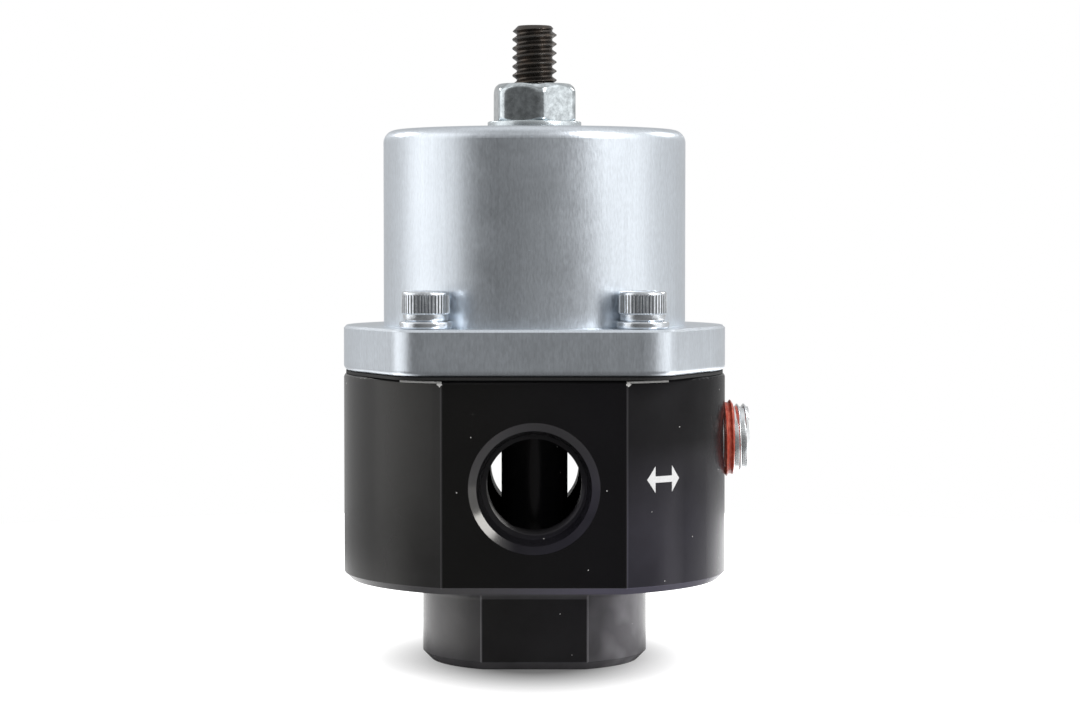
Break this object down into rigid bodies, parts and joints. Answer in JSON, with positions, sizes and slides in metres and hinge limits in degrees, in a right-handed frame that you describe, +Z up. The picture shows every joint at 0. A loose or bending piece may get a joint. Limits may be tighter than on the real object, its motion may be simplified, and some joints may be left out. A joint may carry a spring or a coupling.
{
  "type": "fuel pressure regulator",
  "caption": "Return-style fuel pressure regulator with two side ports, a return port in the base, a gauge port with its plug, and a bonnet with an adjusting screw.",
  "frame": {"origin": "on the axis of the adjusting screw and spring, in the plane of the return boss's bottom face", "axes": "+Z up along the adjusting screw; the side ports lie along Y, with the marked side at -Y; the gauge port looks along +X"},
  "size_m": [0.0573, 0.0564, 0.0895],
  "materials": {
    "black_anodised": "satin black anodised",
    "clear_anodised": "clear anodised, fine vertical grain",
    "plain_aluminium": "turned",
    "plain_steel": "turned",
    "zinc_steel": "clear zinc plated",
    "bright_zinc": "bright zinc plated",
    "black_oxide": "black oxide with an oil film",
    "spring_steel": "drawn wire",
    "brass": "turned",
    "diaphragm_rubber": "fabric-backed rubber",
    "seal_rubber": "moulded rubber",
    "sealant": "dried thread sealant"
  },
  "bodies": {
    "housing": {"body": "black_anodised", "bonnet": "clear_anodised", "bonnet_screws": "bright_zinc", "lock_washers": "bright_zinc", "diaphragm": "diaphragm_rubber", "valve_seat": "brass", "gauge_plug": "bright_zinc", "thread_sealant": "sealant", "reference_nipple": "brass", "pressure_spring": "spring_steel"},
    "valve": {"lower_plate": "plain_aluminium", "upper_plate": "plain_aluminium", "valve_stem": "plain_steel", "valve_pad": "seal_rubber", "stem_nut": "zinc_steel"},
    "button": {"spring_button": "plain_aluminium"},
    "screw": {"adjusting_screw": "black_oxide"},
    "washer": {"seal_ring": "zinc_steel", "seal_lip": "seal_rubber"},
    "nut": {"jam_nut": "zinc_steel"}
  },
  "joints": [
    {"name": "valve_lift", "type": "slide", "parent": "housing", "child": "valve", "axis": [0, 0, 1], "range_m": [0, 0.001], "stiffness_N_per_m": 8000, "springref_m": -0.002, "deforming": ["diaphragm", "pressure_spring"]},
    {"name": "button_travel", "type": "slide", "parent": "housing", "child": "button", "axis": [0, 0, 1], "range_m": [-0.00381, 0.00254]},
    {"name": "screw_turn", "type": "hinge", "parent": "button", "child": "screw", "pos_m": [0, 0, 0.0768], "axis": [0, 0, 1], "range_deg": [-1080, 720]},
    {"name": "washer_lift", "type": "slide", "parent": "housing", "child": "washer", "axis": [0, 0, 1], "range_m": [0, 0.00127]},
    {"name": "nut_turn", "type": "hinge", "parent": "washer", "child": "nut", "pos_m": [0, 0, 0.0786], "axis": [0, 0, 1], "range_deg": [0, 360]}
  ],
  "couplings": [
    {"joint": "screw_turn", "follows": "button_travel", "rad_per_m": 4947.4},
    {"joint": "nut_turn", "follows": "washer_lift", "rad_per_m": 4947.4}
  ]
}
